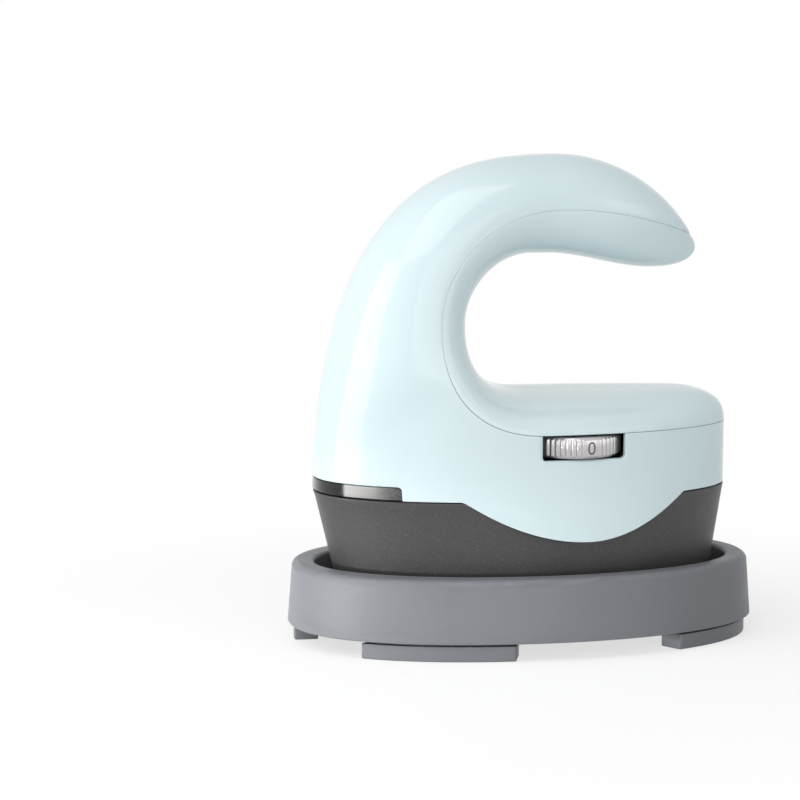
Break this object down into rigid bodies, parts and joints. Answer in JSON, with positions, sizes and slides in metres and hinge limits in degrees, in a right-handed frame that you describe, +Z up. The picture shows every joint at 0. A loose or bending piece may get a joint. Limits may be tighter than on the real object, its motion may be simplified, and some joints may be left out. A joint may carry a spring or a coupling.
{
  "type": "handheld heat press",
  "caption": "Small handheld heat press with a C-shaped blue body, a grey skirt, a thumbwheel and a heated plate, standing in an open oval safety base.",
  "frame": {"origin": "on the table, under the middle of the base tray", "axes": "+X from the spine to the open side of the C, +Z up, the thumbwheel is on the -Y side"},
  "size_m": [0.14, 0.0786, 0.1434],
  "materials": {
    "shell_blue": "satin",
    "skirt_grey": "matte",
    "base_grey": "satin",
    "window_smoke": "gloss",
    "diffuser_white": "matte",
    "board_green": "satin",
    "plate_metal": "satin",
    "element_metal": "satin",
    "screw_steel": "satin",
    "sensor_glass": "gloss",
    "pad_felt": "matte",
    "chassis_white": "matte",
    "relay_blue": "satin",
    "capacitor_yellow": "gloss",
    "switch_black": "satin",
    "hub_black": "matte",
    "dial_silver": "satin",
    "gland_grey": "matte",
    "lead_white": "matte"
  },
  "bodies": {
    "safety_base": {"base_tray": "base_grey", "foot_near_rear": "base_grey", "foot_near_front": "base_grey", "foot_far_rear": "base_grey", "foot_far_front": "base_grey"},
    "press": {"outer_shell": "shell_blue", "inner_cover": "shell_blue", "base_skirt": "skirt_grey", "indicator_lens": "window_smoke", "light_guide": "diffuser_white", "indicator_board": "board_green", "indicator_leds": "diffuser_white", "heating_plate": "plate_metal", "heating_element": "element_metal", "element_terminals": "screw_steel", "thermistor": "sensor_glass", "thermal_fuse": "screw_steel", "sensor_clips": "screw_steel", "sensor_screws": "screw_steel", "insulation_pad": "pad_felt", "heat_shield": "plate_metal", "inner_chassis": "chassis_white", "plate_screws": "screw_steel", "control_board": "board_green", "board_screws": "screw_steel", "relay": "relay_blue", "capacitor": "capacitor_yellow", "terminal_block": "board_green", "rotary_switch": "switch_black", "cord_gland": "gland_grey", "cord_clamp": "chassis_white", "clamp_screws": "screw_steel", "heater_leads": "lead_white"},
    "dial": {"dial_ring": "dial_silver", "dial_hub": "hub_black", "switch_shaft": "screw_steel"}
  },
  "joints": [
    {"name": "press_lift", "type": "slide", "parent": "safety_base", "child": "press", "axis": [0, 0, 1], "range_m": [0, 0.04]},
    {"name": "dial_turn", "type": "hinge", "parent": "press", "child": "dial", "pos_m": [0.01075, -0.0185, 0.061], "axis": [0, 0, 1], "range_deg": [0, 135]}
  ]
}
